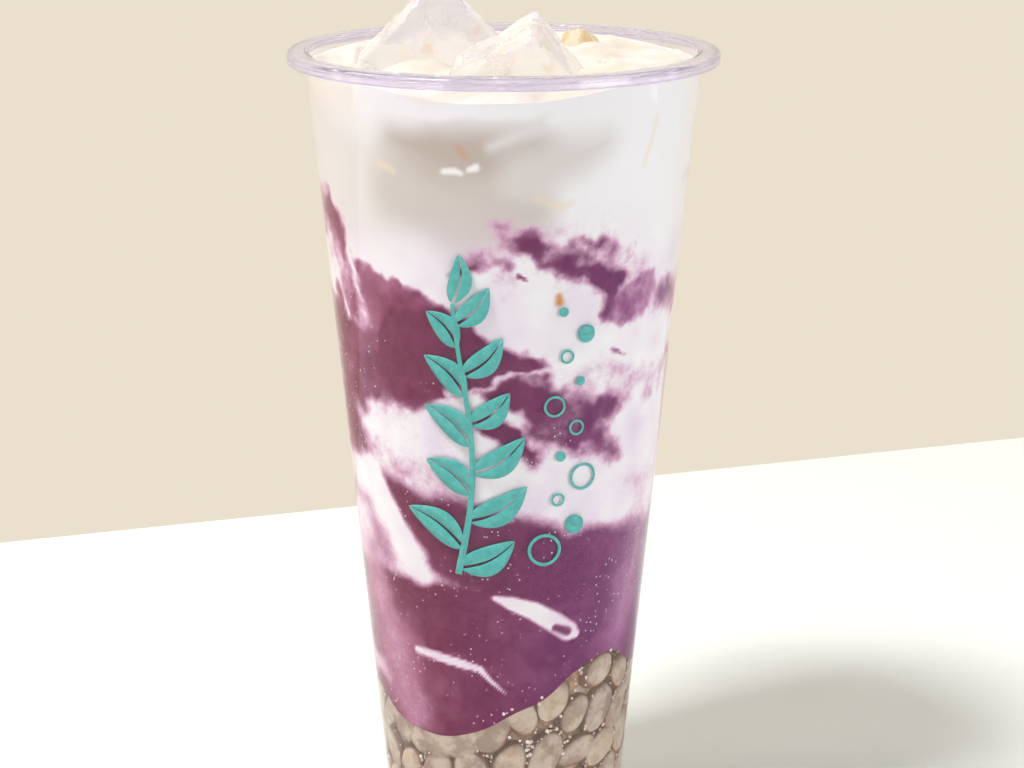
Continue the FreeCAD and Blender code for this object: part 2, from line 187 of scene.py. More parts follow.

# Washes of painted shade in the milk by the wall, darker on the left and in a tan-grey patch under the lip.
# Where the strength is 0 or nearly 0 they leave lighter lines and spots: a painted highlight streak, painted
# glints and a painted bright band under the lip. Each: how strong, how soft in mm, and the path as above.
PAINTED_SHADE_AND_GLINTS = (
    (0.40, 12.0, [(-80, 155, 14), (-60, 150, 14), (-45, 150, 12)]),
    (0.72, 9.0, [(-30, 151, 8.0), (-10, 146, 9.0), (6, 147, 6.0)]),
    (1.00, 8.0, [(-33, 160.5, 2.0), (-20, 159.0, 5.0), (-4, 158.5, 5.6), (8, 159, 4.6)]),
    (0.50, 9.0, [(8, 155, 5.0), (20, 158, 4.0), (30, 160, 2.0)]),
    # a painted highlight streak, nearly white at its upper end
    (0.32, 3.6, [(-2, 160.2, 0.8), (6, 162.6, 1.2), (13, 165.0, 1.5)]),
    (0.02, 3.0, [(14, 165.4, 1.2), (20, 166.4, 1.9)]),
    # painted glints
    (0.0, 0.8, [(-18, 155.2, 0.5), (-14.5, 155.6, 0.7), (-12.5, 155.2, 0.4)]),
    (0.0, 0.8, [(-10, 156.0, 0.5), (-7, 156.5, 0.8)]),
    # a painted bright band under the lip
    (0.0, 1.6, [(-34, 169.0, 0.8), (-30, 166.9, 1.0), (-18, 166.2, 1.1), (0, 166.6, 1.1),
     (9, 167.8, 1.0), (13, 169.6, 0.8)]),
)
CREAM_WASHES = (
    (0.42, 2.0, [(-30, 170.2, 1.0), (-20, 169.7, 1.3), (-8, 169.9, 1.4), (4, 170.2, 1.2)]),
    (0.60, 1.8, [(-39, 155.2, 0.6), (-34, 154.0, 0.5)]),
    (0.55, 1.0, [(48.9, 164.0, 0.45), (47.8, 158.8, 0.4), (46.5, 154.6, 0.35)]),
    (0.60, 2.0, [(10, 149.4, 0.5), (17, 147.5, 0.7), (21, 148.6, 0.4)]),
    (0.40, 9.0, [(-50, 168, 3.0), (-75, 168, 3.0)]),
)
AMBER_FLECKS = (
    (0.95, 1.0, [(17.6, 129.2, 0.7), (18.2, 127.8, 0.95)]),
    (0.45, 1.2, [(-12.0, 160.2, 0.7), (-10.6, 158.8, 0.9)]),
)
# What is pressed against the wall with sharp edges: ice in the paste, dark with a rosy end. The dark of its
# window is painted shade, and the near-white lines along it are painted highlights.
SUNK_ICE_SHADE_AND_GLINTS = (
    (0.00, 0.40, 1.0, [(-3.5, 63.8, 0.5), (3, 62.6, 1.5), (12, 60.6, 2.0), (20, 57.8, 2.2),
     (27, 55, 2.2), (30, 54.2, 1.2)]),
    (0.85, 0.55, 0.7, [(21.5, 56.2, 0.9), (26.5, 55.0, 1.1)]),
    (1.00, 1.00, 1.6, [(-30, 52.4, 1.8), (-24, 53.0, 2.4), (-18, 52.8, 1.8)]),
    (0.12, 0.40, 0.7, [(-38.2, 49.5, 0.9), (-27, 48.9, 1.1), (-17, 48.0, 1.1)]),
    (0.12, 0.40, 0.6, [(-17, 48.0, 1.0), (-10, 47.2, 0.8), (-5.5, 44.6, 0.5), (1, 41.5, 0.2)]),
)


# ---------------------------------------------------------------- shapes of the cup and its layers

def wall_radius(z):
    """Inside radius of the cup's wall."""
    return FOOT_RADIUS + (MOUTH_RADIUS - FOOT_RADIUS) * z / CUP_HEIGHT - WALL


def mound(x, y, centre, spread):
    """A round mound, 1 high."""
    return np.exp(-((x - centre[0]) ** 2 + (y - centre[1]) ** 2) / (2 * spread**2))


def ripple(x, y, pitch):
    """Waves across the cup, about -1 to 1."""
    wave = 2 * math.pi / pitch
    return 0.5 * (np.sin(wave * (x + 0.45 * y)) + np.cos(wave * (y - 0.35 * x) + 0.8))


def pearl_top(x, y):
    """Height of the heap of pearls: piled up at the front right, low at the front left."""
    r = FOOT_RADIUS
    pile = 10.5 * mound(x, y, (0.78 * r, -0.76 * r), 0.38 * r)
    dip = 5.5 * mound(x, y, (-0.70 * r, -0.90 * r), 0.42 * r)
    return PEARL_LEVEL + 0.05 * y + pile - dip + 0.7 * ripple(x, y, 13.0)


def taro_foot(x, y):
    """The paste's lower edge, which hangs between the top pearls at the front left."""
    r = FOOT_RADIUS
    return pearl_top(x, y) - 1.9 * mound(x, y, (-0.38 * r, -1.0 * r), 0.42 * r)


def taro_top(x, y):
    """Height of the paste: smeared up the left of the wall."""
    r = MOUTH_RADIUS
    ridge = 14.0 * mound(x, y, (-0.85 * r, -0.20 * r), 0.30 * r)
    return TARO_LEVEL - 0.40 * x + 0.10 * y + ridge + 2.4 * ripple(x, y, 31.0)


def milk_top(x, y):
    """Height of the milk: froth on the wall at the front left and right, and a dip between."""
    r = MOUTH_RADIUS
    froth = mound(x, y, (-0.72 * r, -0.65 * r), 0.25 * r) + mound(x, y, (0.66 * r, -0.72 * r), 0.30 * r)
    dip = mound(x, y, (-0.15 * r, -0.90 * r), 0.33 * r)
    return MILK_LEVEL + 0.035 * y + 1.2 * froth - 1.2 * dip + 0.25 * ripple(x, y, 26.0)


def place(angle, radius, z):
    """Points from angle, radius and height, as an array with x, y, z last."""
    a = np.radians(angle)
    return np.stack(np.broadcast_arrays(radius * np.sin(a), -radius * np.cos(a), z), axis=-1)


# ---------------------------------------------------------------- meshes

def new_piece(name, points, faces, material, smooth=True):
    """A piece from points in mm and faces, with its normals outwards."""
    mesh = bpy.data.meshes.new(name)
    mesh.from_pydata((np.asarray(points) * MM).tolist(), [], faces)
    mesh.validate()
    obj = bpy.data.objects.new(name, mesh)
    bpy.context.scene.collection.objects.link(obj)
    shell = bmesh.new()
    shell.from_mesh(mesh)
    bmesh.ops.recalc_face_normals(shell, faces=shell.faces)
    shell.to_mesh(mesh)
    shell.free()
    if smooth:
        mesh.shade_smooth()
    mesh.materials.append(material)
    return obj


def store(obj, name, values):
    """Keeps one number for each point of the piece's mesh, for its material to read."""
    layer = obj.data.attributes.new(name, "FLOAT", "POINT")
    layer.data.foreach_set("value", np.asarray(values, np.float32).ravel())


def grid_faces(rows, columns, closed):
    """Quads between the points of a grid, which wraps round when it is closed."""
    faces = []
    last = columns if closed else columns - 1
    for i in range(rows - 1):
        for j in range(last):
            a = i * columns + j
            b = i * columns + (j + 1) % columns
            faces.append((a, b, b + columns, a + columns))
    return faces


def rounded(corners, step=15.0, guard=0.12):
    """A profile whose corners, given as (radius, height, rounding), are arcs with a guard point beside
    each end, so that the shading of the straight runs stays flat."""
    profile = []
    for n, (r, z, rounding) in enumerate(corners):
        here = np.array([r, z])
        if rounding == 0 or n in (0, len(corners) - 1):
            profile.append(here)
            continue
        before = np.array(corners[n - 1][:2]) - here
        after = np.array(corners[n + 1][:2]) - here
        before /= np.linalg.norm(before)
        after /= np.linalg.norm(after)
        half = 0.5 * math.acos(float(np.clip(np.dot(before, after), -1, 1)))
        reach = rounding / math.tan(half)
        middle = (before + after) / np.linalg.norm(before + after)
        centre = here + middle * rounding / math.sin(half)
        start = here + before * reach - centre
        turn = math.pi - 2 * half
        side = 1.0 if np.cross(before, after) < 0 else -1.0
        count = max(2, round(math.degrees(turn) / step))
        profile.append(here + before * (reach + guard))
        for k in range(count + 1):
            a = side * turn * k / count
            c, s = math.cos(a), math.sin(a)
            profile.append(centre + np.array([c * start[0] - s * start[1], s * start[0] + c * start[1]]))
        profile.append(here + after * (reach + guard))
    return profile


def lathe(name, profile, material, segments=224):
    """A solid turned about the cup's axis. The profile starts and ends on the axis."""
    rings = profile[1:-1]
    angles = np.arange(segments) * 360.0 / segments
    points = [place(angles, r, z) for r, z in rings]
    points = np.concatenate(points + [[[0, 0, profile[0][1]]], [[0, 0, profile[-1][1]]]])
    faces = grid_faces(len(rings), segments, closed=True)
    bottom, top = len(points) - 2, len(points) - 1
    last = (len(rings) - 1) * segments
    for j in range(segments):
        k = (j + 1) % segments
        faces.append((bottom, k, j))
        faces.append((top, last + j, last + k))
    return new_piece(name, points, faces, material)


def make_cup(material):
    """Wall, floor with its foot ring, and the hooked lip, in one turned shell."""
    def outside(z):
        return wall_radius(z) + WALL

    lip_under = CUP_HEIGHT - 1.0
    skirt_end = CUP_HEIGHT - 2.5
    skirt_inside = LIP_RADIUS - 1.1
    foot_inside = FOOT_RADIUS - 1.2
    corners = [
        (0, RECESS, 0),
        (foot_inside - 0.4, RECESS, 0.5),
        (foot_inside, 0, 0.3),
        (FOOT_RADIUS, 0, 0.4),
        (outside(lip_under), lip_under, 0.35),
        (skirt_inside, lip_under, 0.5),
        (skirt_inside, skirt_end, 0.45),
        (LIP_RADIUS, skirt_end, 0.45),
        (LIP_RADIUS, CUP_HEIGHT, 0.9),
        (wall_radius(CUP_HEIGHT), CUP_HEIGHT, 0.45),
        (wall_radius(FLOOR_TOP), FLOOR_TOP, 2.0),
        (0, FLOOR_TOP, 0),
    ]
    return lathe("clear_cup", rounded(corners), material)


# ---------------------------------------------------------------- marbling of taro and milk

def smooth(low, high, value):
    """0 below low, 1 above high, and a soft step between them."""
    t = np.clip((value - low) / (high - low), 0.0, 1.0)
    return t * t * (3.0 - 2.0 * t)


def lattice(i, j, k, seed):
    """A repeatable number from 0 to 1 for each whole-number place."""
    mixed = (i * 374761393 + j * 668265263 + k * 2147483647 + seed * 1274126177) & 0xFFFFFFFF
    mixed = ((mixed ^ (mixed >> 13)) * 1274126177) & 0xFFFFFFFF
    return ((mixed ^ (mixed >> 16)) & 0xFFFF) / 65535.0


def cloud(points, size, seed, octaves=2):
    """Soft noise, about -1 to 1, with lumps of about that size."""
    total = 0.0
    weights = 0.0
    for octave in range(octaves):
        p = points * (2.0**octave / size)
        whole = np.floor(p).astype(np.int64)
        part = p - whole
        part = part * part * (3.0 - 2.0 * part)
        value = 0.0
        for corner in range(8):
            step = np.array([corner & 1, corner >> 1 & 1, corner >> 2])
            share = np.prod(np.where(step == 1, part, 1.0 - part), axis=-1)
            i, j, k = np.moveaxis(whole + step, -1, 0)
            value = value + share * lattice(i, j, k, seed + octave)
        total = total + 0.5**octave * (2.0 * value - 1.0)
        weights += 0.5**octave
    return 1.6 * total / weights


def streak(angle, height, path, soft):
    """Cover, 0 to 1, of a streak whose path is a list of angle, height and half-width."""
    cover = np.zeros_like(height)
    across = np.radians(angle) * wall_radius(height)
    for (a0, z0, w0), (a1, z1, w1) in zip(path, path[1:]):
        s0 = math.radians(a0) * wall_radius(z0)
        s1 = math.radians(a1) * wall_radius(z1)
        ds, dz = s1 - s0, z1 - z0
        along = np.clip(((across - s0) * ds + (height - z0) * dz) / (ds * ds + dz * dz), 0.0, 1.0)
        gap = np.hypot(across - s0 - along * ds, height - z0 - along * dz)
        width = w0 + (w1 - w0) * along
        cover = np.maximum(cover, smooth(-0.5 * soft, 0.5 * soft, width - gap))
    return cover


def marbling(angle, height, point):
    """Taro share and depth of colour at places on the wall, from angle, height and place in mm."""
    ragged = 0.25 + 0.75 * smooth(78.0, 108.0, height)
    drift = cloud(point, 12.0, 3) * 1.5 + (cloud(point, 4.0, 7) * 1.1 + cloud(point, 1.6, 17) * 0.4) * ragged
    rise = cloud(point, 10.0, 5) * 1.2 + (cloud(point, 3.6, 9) * 1.1 + cloud(point, 1.5, 19) * 0.4) * ragged
    turned = angle + np.degrees(drift / wall_radius(height))
    raised = height + rise + SETTLED
    taro = smooth(BASE_TOP + 2.0, BASE_TOP - 2.0, raised)
    depth = 0.76 - 0.25 * smooth(10, 60, np.abs(turned + 5)) + 0.15 * cloud(point, 16.0, 13)
    for amount, colour_depth, soft, path in STREAKS:
        cover = streak(turned, raised, path, SMEARED * soft)
        taro = taro + (amount - taro) * cover
        if amount > 0.2:
            depth = depth + (colour_depth - depth) * cover
    taro = taro + 1.4 * ragged * cloud(point, 2.8, 23, 3) * taro * (1.0 - taro)
    # the ice sunk in the paste: painted shade in its dark window and painted highlights along it
    for amount, colour_depth, soft, path in SUNK_ICE_SHADE_AND_GLINTS:
        cover = streak(angle, height, path, soft)
        taro = taro + (amount - taro) * cover
        depth = depth + (colour_depth - depth) * cover
    # Round the back the two run into each other as they come.
    long_lumps = cloud(point * np.array([1.0, 1.0, 0.55]), 17.0, 21, 3)
    ends = smooth(-0.16, 0.16, long_lumps + (BASE_TOP + 34.0 - height) / 60.0)
    behind = smooth(70.0, 92.0, np.abs(angle))
    taro = taro + (ends - taro) * behind
    depth = depth + (0.5 + 0.3 * cloud(point, 14.0, 31) - depth) * behind
    return np.clip(taro, 0, 1), np.clip(depth, 0, 1)


# ---------------------------------------------------------------- taro and milk

def layer_of_drink(name, bottom, top, rows, top_rings, relief, material):
    """A closed body of drink between two surfaces, out to just inside the wall. relief() moves its top.

    The first and last rows stand close together, so that the shading stays flat up to the edges."""
    columns = DRINK_COLUMNS
    angles = np.arange(columns) * 360.0 / columns - 180.0
    a = np.radians(angles)

    def rim(surface):
        z = np.full(columns, float(CUP_HEIGHT * 0.5))
        for _ in range(6):
            r = wall_radius(z) + REACH
            z = surface(r * np.sin(a), -r * np.cos(a))
        return z

    low, high = rim(bottom), rim(top)
    levels = []
    for t in [0.0, 0.0015, *np.linspace(0.008, 0.992, rows - 4), 0.9985, 1.0]:
        z = low + (high - low) * t
        levels.append(place(angles, wall_radius(z) + REACH, z))
    for share in [0.997, *np.linspace(1.0, 0.0, top_rings + 1)[1:-1]]:
        ring = levels[rows - 1] * share
        z = relief(ring[:, 0], ring[:, 1], top(ring[:, 0], ring[:, 1]))
        levels.append(np.stack([ring[:, 0], ring[:, 1], z], axis=-1))
    under = []
    for share in [0.997, *np.linspace(1.0, 0.0, 9)[1:-1]]:
        ring = levels[0] * share
        under.append(np.stack([ring[:, 0], ring[:, 1], bottom(ring[:, 0], ring[:, 1])], axis=-1))
    rings = under[::-1] + levels
    points = np.concatenate(rings)
    zero = np.zeros(1)
    ends = [[0, 0, bottom(zero, zero)[0]], [0, 0, relief(zero, zero, top(zero, zero))[0]]]
    faces = grid_faces(len(rings), columns, closed=True)
    first, last = len(points), (len(rings) - 1) * columns
    for j in range(columns):
        k = (j + 1) % columns
        faces.append((first, k, j))
        faces.append((first + 1, last + j, last + k))
    points = np.concatenate([points, ends])
    obj = new_piece(name, points, faces, material)
    angle = np.degrees(np.arctan2(points[:, 0], -points[:, 1]))
    taro, depth = marbling(angle, points[:, 2], points)
    store(obj, "taro", taro)
    store(obj, "depth", depth)
    store(obj, "to_right", np.sin(np.radians(angle)))
    on_top = np.hypot(points[:, 0], points[:, 1]) < wall_radius(points[:, 2]) - 0.4
    # The top of the milk gets uneven painted shade, to tone down the light that falls on it, and cream stains
    # in the same places; by the wall it gets the table of painted shade and glints.
    stains_and_shade = np.clip(0.5 + 0.5 * cloud(points, 7.0, 81, 3), 0.0, 1.0)
    store(obj, "painted_shade", np.where(on_top, 0.16 + 0.34 * stains_and_shade, wash(angle, points, PAINTED_SHADE_AND_GLINTS)))
    store(obj, "warm", np.where(on_top, 0.10 + 0.30 * stains_and_shade ** 2, wash(angle, points, CREAM_WASHES)))
    store(obj, "amber", wash(angle, points, AMBER_FLECKS))
    marbled = smooth(150.0, 128.0, points[:, 2]) * (0.38 + 0.40 * cloud(points, 7.0, 77))
    store(obj, "lilac", np.clip(marbled, 0, 1))
    return obj


def wash(angle, points, washes):
    """Strength of a wash of colour at places on the drink."""
    turned = angle + 1.2 * cloud(points, 9.0, 71)
    height = points[:, 2] + 0.5 * cloud(points, 8.0, 73)
    total = np.zeros(len(points))
    for strength, soft, path in washes:
        total = total + (strength - total) * streak(turned, height, path, soft)
    return total


def ice_trees():
    """A ray tree, in mm, for each block of ice that stands in the milk."""
    trees = []
    for name in ICE_BLOCKS:
        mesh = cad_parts[name].data
        corners = [tuple(v.co / MM) for v in mesh.vertices]
        trees.append(BVHTree.FromPolygons(corners, [tuple(p.vertices) for p in mesh.polygons]))
    return trees


def depth_inside(tree, point):
    """How deep a point lies inside a block of ice, or 0 outside it."""
    up = tree.ray_cast(point, Vector((0.01, 0.02, 1.0)))
    if up[0] is None or up[1].z <= 0:
        return 0.0
    return tree.find_nearest(point)[3]


def milk_relief(x, y, z):
    """Froth and folds on the milk, which draws up to the wall and to the ice, and leaves the ice its room."""
    points = np.stack([x, y, z], axis=-1)
    gap = wall_radius(MILK_LEVEL) - np.hypot(x, y)
    lifted = z + 0.9 * cloud(points, 9.0, 41) * smooth(0.5, 5.0, gap) + 0.35 * cloud(points, 2.6, 43)
    lifted = lifted - 0.5 * smooth(0.0, 2.5, gap)
    for n, point in enumerate(points):
        for tree in ICE_TREES:
            deep = depth_inside(tree, Vector(point))
            if deep > 0:
                lifted[n] -= min(7.0, 1.3 * deep)
            else:
                near = tree.find_nearest(Vector(point))[3]
                lifted[n] += 0.9 * math.exp(-near / 1.2)
    return lifted


def no_relief(_x, _y, z):
    """Leaves a surface as it is."""
    return z


# ---------------------------------------------------------------- ice

def melted_block(node, name, material, voxel, wear, seed):
    """A block's own mesh, melted: worn in by up to the wear, with dents of two sizes."""
    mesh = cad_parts[node].data.copy()
    mesh.materials.clear()
    obj = bpy.data.objects.new(name, mesh)
    bpy.context.scene.collection.objects.link(obj)
    shell = bmesh.new()
    shell.from_mesh(mesh)
    bmesh.ops.remove_doubles(shell, verts=shell.verts, dist=0.00001)
    shell.to_mesh(mesh)
    shell.free()
    remesh = obj.modifiers.new("even_faces", "REMESH")
    remesh.mode = "VOXEL"
    remesh.voxel_size = voxel * MM
    even = made_plain(obj)
    count = len(even.vertices)
    points = np.empty(count * 3)
    normals = np.empty(count * 3)
    even.vertices.foreach_get("co", points)
    even.vertex_normals.foreach_get("vector", normals)
    points = points.reshape(-1, 3) / MM
    normals = normals.reshape(-1, 3)
    dents = 0.5 + 0.5 * cloud(points, 8.0, seed)
    ripples = 0.5 + 0.5 * cloud(points, 2.4, seed + 5)
    points = points - normals * (wear * (0.8 * dents + 0.25 * ripples))[:, None]
    even.vertices.foreach_set("co", (points * MM).ravel())
    even.update()
    even.shade_smooth()
    even.materials.clear()
    even.materials.append(material)
    return obj


def made_plain(obj):
    """Turns the piece's modifiers into its plain mesh, and gives that mesh."""
    evaluated = obj.evaluated_get(bpy.context.evaluated_depsgraph_get())
    plain = bpy.data.meshes.new_from_object(evaluated)
    obj.modifiers.clear()
    obj.data = plain
    return plain


# ---------------------------------------------------------------- pearls and their syrup


def ball_tree():
    """Geometry nodes that put a stretched, turned ball at each point of a piece."""
    tree = bpy.data.node_groups.new("balls_at_places", "GeometryNodeTree")
    tree.interface.new_socket("Places", in_out="INPUT", socket_type="NodeSocketGeometry")
    tree.interface.new_socket("Segments", in_out="INPUT", socket_type="NodeSocketInt")
    tree.interface.new_socket("Rings", in_out="INPUT", socket_type="NodeSocketInt")
    tree.interface.new_socket("Material", in_out="INPUT", socket_type="NodeSocketMaterial")
    tree.interface.new_socket("Balls", in_out="OUTPUT", socket_type="NodeSocketGeometry")
    board = Board(tree)
    given = board.add("NodeGroupInput")
    ball = board.add("GeometryNodeMeshUVSphere", {
        "Segments": given.outputs["Segments"], "Rings": given.outputs["Rings"], "Radius": 1.0,
    })
    turn = board.add("GeometryNodeInputNamedAttribute", {"Name": "turn"}, data_type="FLOAT_VECTOR")
    size = board.add("GeometryNodeInputNamedAttribute", {"Name": "size"}, data_type="FLOAT_VECTOR")
    rotation = board.add("FunctionNodeEulerToRotation", {"Euler": turn.outputs[0]})
    copies = board.add("GeometryNodeInstanceOnPoints", {
        "Points": given.outputs["Places"], "Instance": ball.outputs["Mesh"],
        "Rotation": rotation.outputs[0], "Scale": size.outputs[0],
    })
    real = board.add("GeometryNodeRealizeInstances", {"Geometry": copies.outputs[0]})
    soft = board.add("GeometryNodeSetShadeSmooth", {"Geometry": real.outputs[0]})
    finish = board.add("GeometryNodeSetMaterial", {
        "Geometry": soft.outputs[0], "Material": given.outputs["Material"],
    })
    board.add("NodeGroupOutput", {"Balls": finish.outputs[0]})
    return tree


def balls(name, places, turns, sizes, tones, segments, rings, material):
    """One piece of many balls, from places and sizes in mm and turns in radians."""
    mesh = bpy.data.meshes.new(name)
    mesh.from_pydata((places * MM).tolist(), [], [])
    obj = bpy.data.objects.new(name, mesh)
    bpy.context.scene.collection.objects.link(obj)
    for label, values in (("turn", turns), ("size", sizes * MM)):
        layer = mesh.attributes.new(label, "FLOAT_VECTOR", "POINT")
        layer.data.foreach_set("vector", np.asarray(values, np.float32).ravel())
    store(obj, "tone", tones)
    modifier = obj.modifiers.new("balls", "NODES")
    modifier.node_group = BALL_TREE
    settings = {"Segments": segments, "Rings": rings, "Material": material}
    for item in BALL_TREE.interface.items_tree:
        if item.in_out == "INPUT" and item.name in settings:
            modifier[item.identifier] = settings[item.name]
    made_plain(obj)
    return obj


def points_of(obj):
    """The piece's points in mm, and their normals."""
    count = len(obj.data.vertices)
    points = np.empty(count * 3)
    normals = np.empty(count * 3)
    obj.data.vertices.foreach_get("co", points)
    obj.data.vertex_normals.foreach_get("vector", normals)
    return points.reshape(-1, 3) / MM, normals.reshape(-1, 3)


def move_points(obj, points):
    """Sets the piece's points, in mm."""
    obj.data.vertices.foreach_set("co", (points * MM).ravel())
    obj.data.update()


def pearl_layer(count, inset, low, seed):
    """Places, turns, sizes and tones of pearls that lie side by side at that distance inside the wall."""
    rng = np.random.default_rng(seed)
    spots = np.stack([rng.uniform(-180, 180, count), rng.uniform(low, 42.0, count)], axis=-1)
    lean = math.radians(PEARL_LEAN)
    for _ in range(90):
        r = wall_radius(spots[:, 1]) - inset
        arc = np.radians(spots[:, 0]) * r
        circle = 2 * math.pi * r[:, None]
        across = (arc[:, None] - arc[None, :] + circle / 2) % circle - circle / 2
        along = spots[:, 1][:, None] - spots[:, 1][None, :]
        wide = across * math.cos(lean) - along * math.sin(lean)
        tall = (across * math.sin(lean) + along * math.cos(lean)) / PEARL_STRETCH
        gap = np.hypot(wide, tall) + 1e-6
        np.fill_diagonal(gap, 99.0)
        push = np.clip(PEARL_PITCH - gap, 0, None) / gap * 0.25
        spots[:, 0] += np.degrees((across * push).sum(axis=1) / r)
        spots[:, 1] += (along * push).sum(axis=1)
        spots[:, 0] = (spots[:, 0] + 180) % 360 - 180
        a = np.radians(spots[:, 0])
        ceiling = pearl_top(r * np.sin(a), -r * np.cos(a)) - 3.6
        spots[:, 1] = np.minimum(np.maximum(spots[:, 1], low), ceiling)
    places = place(spots[:, 0], wall_radius(spots[:, 1]) - inset, spots[:, 1])
    leans = np.radians(PEARL_LEAN + rng.normal(0, 22, count))
    turns = np.stack([rng.normal(0, 0.15, count), leans, np.radians(spots[:, 0])], axis=-1)
    scale = rng.uniform(0.90, 1.10, count)
    sizes = np.stack([3.75 * scale, 3.1 * scale, 5.5 * scale * rng.uniform(0.82, 1.12, count)], axis=-1)
    return places, turns, sizes, rng.uniform(0, 1, count), spots


def distance_to_pearls(angle, height, spots):
    """From a place on the wall to the nearest pearl's middle, in pearls' widths."""
    lean = math.radians(PEARL_LEAN)
    across = np.radians((angle - spots[:, 0] + 180) % 360 - 180) * wall_radius(height)
    along = height - spots[:, 1]
    wide = across * math.cos(lean) - along * math.sin(lean)
    tall = (across * math.sin(lean) + along * math.cos(lean)) / PEARL_STRETCH
    return np.hypot(wide, tall).min() / PEARL_PITCH


def make_pearls(material):
    """Two layers of soft pearls, the outer one pressed flat against the wall."""
    inner = pearl_layer(INNER_PEARLS, INNER_PEARL_INSET, FLOOR_TOP + 3.6, 12)
    places, turns, sizes, tones = (np.concatenate(pair) for pair in zip(PEARLS_AT_WALL[:4], inner[:4]))
    obj = balls("pearls", places, turns, sizes, tones, 18, 12, material)
    points, normals = points_of(obj)
    points = points + normals * (0.45 * cloud(points, 4.5, 61, 1))[:, None]
    radius = np.hypot(points[:, 0], points[:, 1])
    points[:, :2] *= np.minimum(1.0, (wall_radius(points[:, 2]) + 0.08) / radius)[:, None]
    points[:, 2] = np.maximum(points[:, 2], FLOOR_TOP - 0.08)
    move_points(obj, points)
    points, normals = points_of(obj)
    outward = points[:, :2] / np.hypot(points[:, 0], points[:, 1])[:, None]
    store(obj, "facing_out", (normals[:, :2] * outward).sum(axis=1))
    return obj


def syrup_body(name, inset, top_gap, rows, columns, material):
    """The syrup round the pearls, from the cup's floor up to that gap over the pearls' surface."""
    angles = np.arange(columns) * 360.0 / columns
    a = np.radians(angles)
    radius_low = wall_radius(FLOOR_TOP) - inset
    rings = []
    for turn in np.linspace(10, 90, 6):
        s, c = math.sin(math.radians(turn)), math.cos(math.radians(turn))
        low = FLOOR_TOP - REACH + max(inset, 0.0) * 0.15
        rings.append(place(angles, radius_low - 2.0 + 2.0 * s, low + 2.0 - 2.0 * c))
    foot = rings[-1][0, 2]
    z = np.full(columns, 40.0)
    for _ in range(6):
        r = wall_radius(z) - inset
        z = pearl_top(r * np.sin(a), -r * np.cos(a)) + top_gap
    for t in np.linspace(0.0, 1.0, rows)[1:]:
        height = foot + (z - foot) * t
        rings.append(place(angles, wall_radius(height) - inset, height))
    rim = rings[-1]
    for share in np.linspace(1.0, 0.0, 8)[1:-1]:
        x, y = rim[:, 0] * share, rim[:, 1] * share
        rings.append(np.stack([x, y, pearl_top(x, y) + top_gap], axis=-1))
    points = np.concatenate(rings + [[[0, 0, rings[0][0, 2]]], [[0, 0, PEARL_LEVEL + top_gap]]])
    faces = grid_faces(len(rings), columns, closed=True)
    last = (len(rings) - 1) * columns
    for j in range(columns):
        k = (j + 1) % columns
        faces.append((len(points) - 2, k, j))
        faces.append((len(points) - 1, last + j, last + k))
    return new_piece(name, points, faces, material)


def make_bubbles(material):
    """Tiny bubbles on the wall, in clusters where the syrup meets the taro and between the pearls."""
    rng = np.random.default_rng(5)
    spots = []
    for angle, z, spread_angle, spread_z, count in BUBBLE_CLUSTERS:
        spots += [(rng.normal(angle, spread_angle), rng.normal(z, spread_z)) for _ in range(count)]
    spots += [(rng.uniform(-180, 180), rng.uniform(6, 46)) for _ in range(LOOSE_BUBBLES)]
    spots = [s for s in spots if distance_to_pearls(*s, PEARLS_AT_WALL[4]) > BUBBLE_GAP]
    spots = np.array(spots)
    a = np.radians(spots[:, 0])
    r = wall_radius(spots[:, 1])
    level = pearl_top(r * np.sin(a), -r * np.cos(a))
    spots = spots[spots[:, 1] < level + 0.6]
    count = len(spots)
    size = 0.20 + 0.30 * rng.uniform(0, 1, count) ** 2
    places = place(spots[:, 0], wall_radius(spots[:, 1]) - size * 0.25, spots[:, 1])
    sizes = np.stack([size, size, size], axis=-1)
    return balls("bubbles", places, np.zeros((count, 3)), sizes, rng.uniform(0, 1, count), 8, 6, material)


# ---------------------------------------------------------------- print on the wall

def on_the_wall(outline, raised):
    """Points of a flat outline, given as distances round the wall and heights, laid on the wall."""
    outline = np.asarray(outline, float)
    outside = wall_radius(outline[:, 1]) + WALL
    return place(np.degrees(outline[:, 0] / outside), outside + raised, outline[:, 1])


def filled(points, faces, rows):
    """Adds a strip or a fan of rows of points, each row a pair of edges, to a print."""
    first = len(points)
    for left, right in rows:
        points += [left + (right - left) * t for t in (0, 0.5, 1)]
    for n in range(len(rows) - 1):
        for k in range(2):
            a = first + 3 * n + k
            faces.append((a, a + 1, a + 4, a + 3))


def stroke(points, faces, path, widths):
    """A line of varied width along a path on the flat print."""
    path = np.asarray(path, float)
    along = np.gradient(path, axis=0)
    along /= np.linalg.norm(along, axis=1)[:, None]
    side = np.stack([-along[:, 1], along[:, 0]], axis=-1) * np.asarray(widths)[:, None] / 2
    filled(points, faces, list(zip(path - side, path + side)))


def leaf(points, faces, root, direction, length, width):
    """A pointed leaf in two halves, with its midrib left bare."""
    direction = math.radians(direction)
    ahead = np.array([math.sin(direction), math.cos(direction)])
    aside = np.array([ahead[1], -ahead[0]])
    steps = np.linspace(0.03, 1.0, 18)
    for sign in (-1, 1):
        rows = []
        for t in steps:
            bend = 0.10 * length * math.sin(math.pi * t)
            spine = np.asarray(root) + ahead * length * t + aside * bend
            half = 0.5 * width * math.sin(math.pi * t**0.8) ** 0.8 + 0.02
            rib = min(half * 0.6, 0.32 * (1 - t) + 0.06)
            rows.append((spine + sign * aside * rib, spine + sign * aside * half))
        filled(points, faces, rows if sign > 0 else [(b, a) for a, b in rows])


def ring(points, faces, centre, outer, inner):
    """A ring, or a dot when its inner radius is 0."""
    rows = []
    for a in np.linspace(0, 2 * math.pi, 33):
        spoke = np.array([math.cos(a), math.sin(a)])
        rows.append((np.asarray(centre) + spoke * inner, np.asarray(centre) + spoke * outer))
    filled(points, faces, rows)


